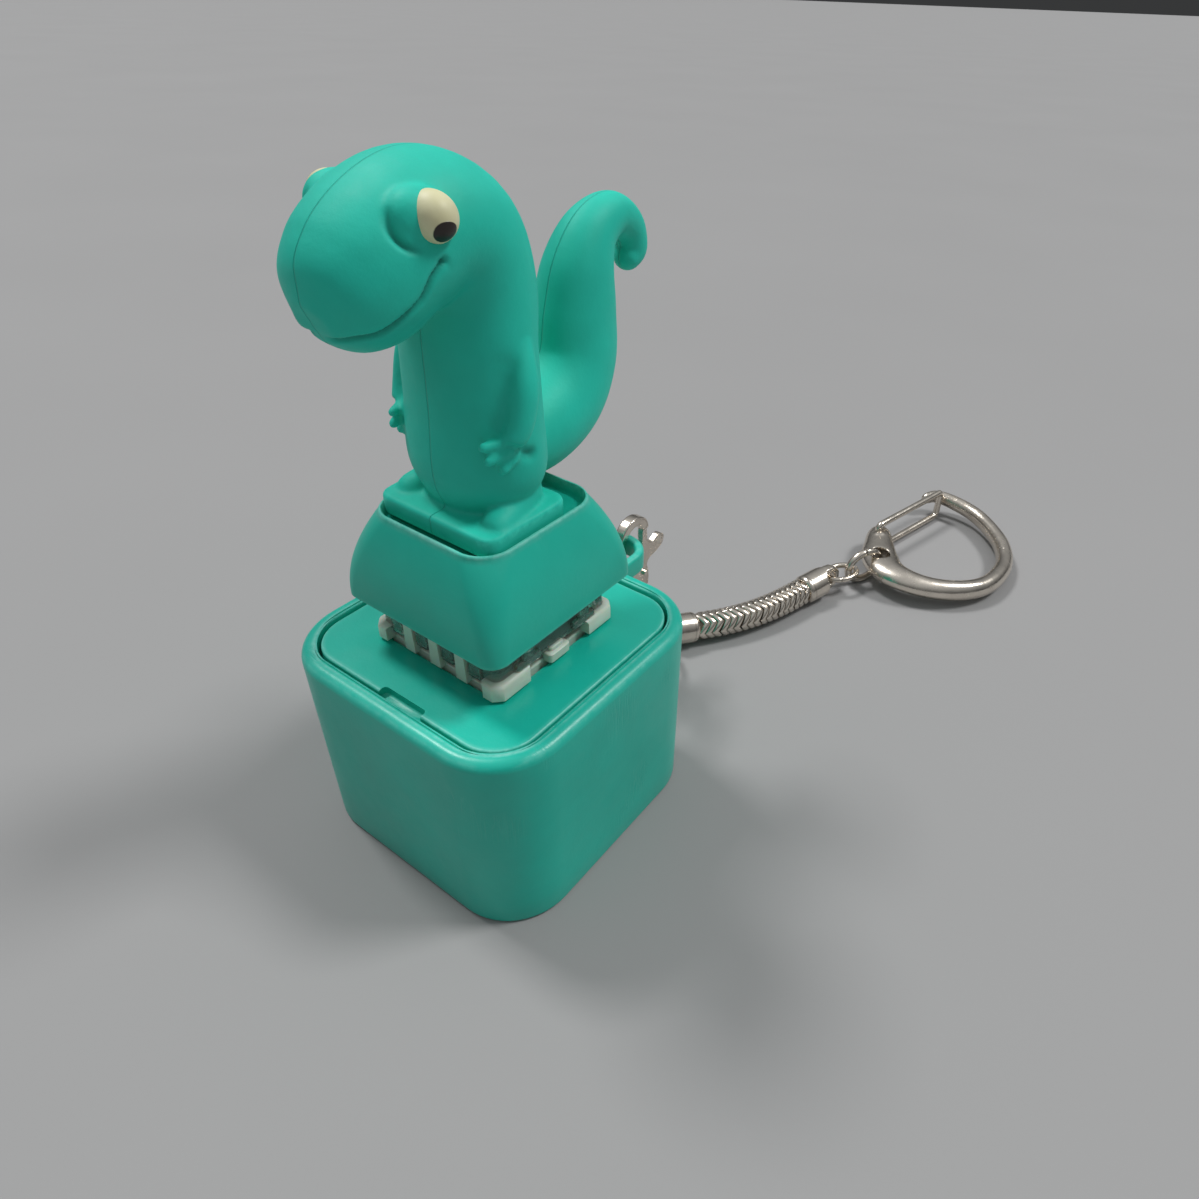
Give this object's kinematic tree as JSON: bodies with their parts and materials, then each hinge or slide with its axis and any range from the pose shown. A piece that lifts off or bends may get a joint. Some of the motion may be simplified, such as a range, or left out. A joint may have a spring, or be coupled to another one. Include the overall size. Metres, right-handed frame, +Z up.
{
  "type": "key switch clicker keyring",
  "caption": "Keyring with a square case holding a key switch, a keycap with a long-necked toy figure, a lobster clasp, a short snake chain and a D-shaped snap hook.",
  "frame": {"origin": "centre of the case's flat underside", "axes": "+Z up; the figure looks along -Y; the lug, clasp and chain leave towards +Y"},
  "size_m": [0.0464, 0.0977, 0.0615],
  "materials": {
    "case_plastic": "semi-gloss moulded teal plastic with light scuffs",
    "keycap_plastic": "satin moulded teal plastic",
    "figure_rubber": "matte soft teal rubber with mould seams and painted eyes",
    "milky_plastic": "milky white moulded plastic",
    "clear_plastic": "clear moulded plastic",
    "stem_plastic": "satin moulded blue plastic",
    "contact_copper": "bright strip",
    "spring_steel": "bright wire",
    "nickel": "warm nickel plate, slightly worn"
  },
  "bodies": {
    "case": {"case_shell": "case_plastic", "switch_plate": "case_plastic", "switch_lower_housing": "milky_plastic", "switch_upper_housing": "clear_plastic", "fixed_contact": "contact_copper", "return_spring": "spring_steel"},
    "key": {"switch_stem": "stem_plastic", "keycap": "keycap_plastic", "figure_body": "figure_rubber"},
    "contact_leaf": {"moving_contact": "contact_copper"},
    "clasp": {"clasp_body": "nickel", "clasp_pin": "nickel", "clasp_spring": "spring_steel"},
    "lever": {"clasp_lever": "nickel"},
    "jump_ring": {"clasp_ring": "nickel"},
    "near_cap": {"chain_cap_near": "nickel"},
    "chain_1": {"chain_segment_1": "nickel"},
    "chain_2": {"chain_segment_2": "nickel"},
    "chain_3": {"chain_segment_3": "nickel"},
    "chain_4": {"chain_segment_4": "nickel"},
    "chain_5": {"chain_segment_5": "nickel"},
    "chain_6": {"chain_segment_6": "nickel"},
    "far_cap": {"chain_cap_far": "nickel"},
    "link_1": {"ring_link_1": "nickel"},
    "link_2": {"ring_link_2": "nickel"},
    "hook": {"d_hook_frame": "nickel"},
    "gate": {"wire_gate": "nickel"}
  },
  "joints": [
    {"name": "key_press", "type": "slide", "parent": "case", "child": "key", "axis": [0, 0, -1], "range_m": [0, 0.004], "stiffness_N_per_m": 50, "springref_m": -0.008, "deforming": ["return_spring"]},
    {"name": "contact_flex", "type": "hinge", "parent": "case", "child": "contact_leaf", "pos_m": [-0.0045, 0, 0.016], "axis": [0, -1, 0], "range_deg": [0, 3.5]},
    {"name": "clasp_swing", "type": "hinge", "parent": "case", "child": "clasp", "pos_m": [0, 0.02, 0.0191], "axis": [1, 0, 0], "range_deg": [-12, 12]},
    {"name": "clasp_lever_open", "type": "hinge", "parent": "clasp", "child": "lever", "pos_m": [0, 0.0224, 0.0143], "axis": [1, 0, 0], "range_deg": [0, 12], "stiffness_Nm_per_rad": 0.0002},
    {"name": "jump_ring_turn", "type": "hinge", "parent": "clasp", "child": "jump_ring", "pos_m": [0, 0.0212, 0.0076], "axis": [1, 0, 0], "range_deg": [-30, 30]},
    {"name": "near_cap_turn", "type": "hinge", "parent": "jump_ring", "child": "near_cap", "pos_m": [0.0003, 0.02665, 0.00252], "axis": [0.8364, -0.5448, -0.0598], "range_deg": [-30, 30]},
    {"name": "chain_bend_1", "type": "hinge", "parent": "near_cap", "child": "chain_1", "pos_m": [0.0031, 0.031, 0.002], "axis": [0, 0, 1], "range_deg": [-8, 8]},
    {"name": "chain_bend_2", "type": "hinge", "parent": "chain_1", "child": "chain_2", "pos_m": [0.00484, 0.0332, 0.002], "axis": [-0.8134, 0.5818, 0], "range_deg": [-8, 8]},
    {"name": "chain_bend_3", "type": "hinge", "parent": "chain_2", "child": "chain_3", "pos_m": [0.00636, 0.03555, 0.002], "axis": [0, 0, 1], "range_deg": [-8, 8]},
    {"name": "chain_bend_4", "type": "hinge", "parent": "chain_3", "child": "chain_4", "pos_m": [0.00766, 0.03803, 0.002], "axis": [-0.9053, 0.4247, 0], "range_deg": [-8, 8]},
    {"name": "chain_bend_5", "type": "hinge", "parent": "chain_4", "child": "chain_5", "pos_m": [0.00873, 0.04062, 0.002], "axis": [0, 0, 1], "range_deg": [-8, 8]},
    {"name": "chain_bend_6", "type": "hinge", "parent": "chain_5", "child": "chain_6", "pos_m": [0.00958, 0.04329, 0.002], "axis": [-0.9601, 0.2795, 0], "range_deg": [-8, 8]},
    {"name": "chain_bend_7", "type": "hinge", "parent": "chain_6", "child": "far_cap", "pos_m": [0.0103, 0.046, 0.002], "axis": [0, 0, 1], "range_deg": [-8, 8]},
    {"name": "link_1_turn", "type": "hinge", "parent": "far_cap", "child": "link_1", "pos_m": [0.01191, 0.05093, 0.00242], "axis": [0, 0, 1], "range_deg": [-4, 12]},
    {"name": "link_2_turn", "type": "hinge", "parent": "link_1", "child": "link_2", "pos_m": [0.01407, 0.05498, 0.00259], "axis": [-0.8827, 0.47, 0], "range_deg": [-30, 30]},
    {"name": "hook_turn", "type": "hinge", "parent": "link_2", "child": "hook", "pos_m": [0.0161, 0.0588, 0.00275], "axis": [0, 0, 1], "range_deg": [-30, 30]},
    {"name": "gate_open", "type": "hinge", "parent": "hook", "child": "gate", "pos_m": [0.0134, 0.0643, 0.00275], "axis": [0, 0, -1], "range_deg": [0, 28], "stiffness_Nm_per_rad": 0.002}
  ],
  "couplings": [
    {"joint": "contact_flex", "follows": "key_press", "rad_per_m": 15}
  ]
}
